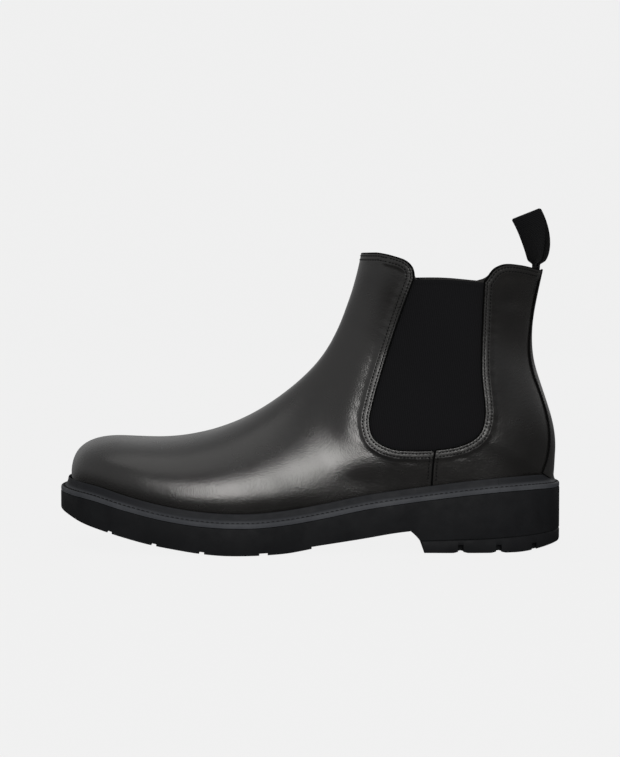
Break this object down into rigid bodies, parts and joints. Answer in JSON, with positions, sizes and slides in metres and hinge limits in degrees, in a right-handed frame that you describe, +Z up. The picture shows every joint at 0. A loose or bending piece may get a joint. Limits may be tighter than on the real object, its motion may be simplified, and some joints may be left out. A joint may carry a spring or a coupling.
{
  "type": "chelsea boot",
  "caption": "Black leather ankle boot with elastic side panels, a back pull tab, a raised welt and a lugged rubber sole with a low block heel.",
  "frame": {"origin": "on the ground under the middle of the boot's box", "axes": "+Z up, the toe points to -X and the heel to +X, the outer (lateral) side faces -Y"},
  "size_m": [0.3048, 0.1078, 0.2054],
  "materials": {
    "upper_leather": "semi-gloss black grain leather",
    "lining": "matte dark lining leather",
    "elastic": "matte ribbed elastic webbing",
    "webbing": "matte woven black tape",
    "sole_rubber": "matte black moulded rubber",
    "welt": "satin dark grey welt strip with a stitch groove",
    "board": "pressed fibre board",
    "cork": "ground cork filler",
    "steel": "spring steel strip"
  },
  "bodies": {
    "boot": {"sole_unit": "sole_rubber", "heel_top_lift": "sole_rubber", "welt": "welt", "heel_rand": "welt", "midsole": "board", "cork_filler": "cork", "shank": "steel", "insole_board": "board", "footbed": "lining", "vamp": "upper_leather", "quarter_lateral": "upper_leather", "quarter_medial": "upper_leather", "backstrap": "upper_leather", "gore_lateral": "elastic", "gore_medial": "elastic", "toe_puff": "board", "heel_counter": "board", "vamp_lining": "lining", "quarter_lining": "lining", "pull_tab_root": "webbing"},
    "tab": {"pull_tab": "webbing"}
  },
  "joints": [
    {"name": "tab_fold", "type": "hinge", "parent": "boot", "child": "tab", "pos_m": [0.1382, 0, 0.1704], "axis": [0, 1, 0], "range_deg": [-50, 60], "stiffness_Nm_per_rad": 0.01}
  ]
}
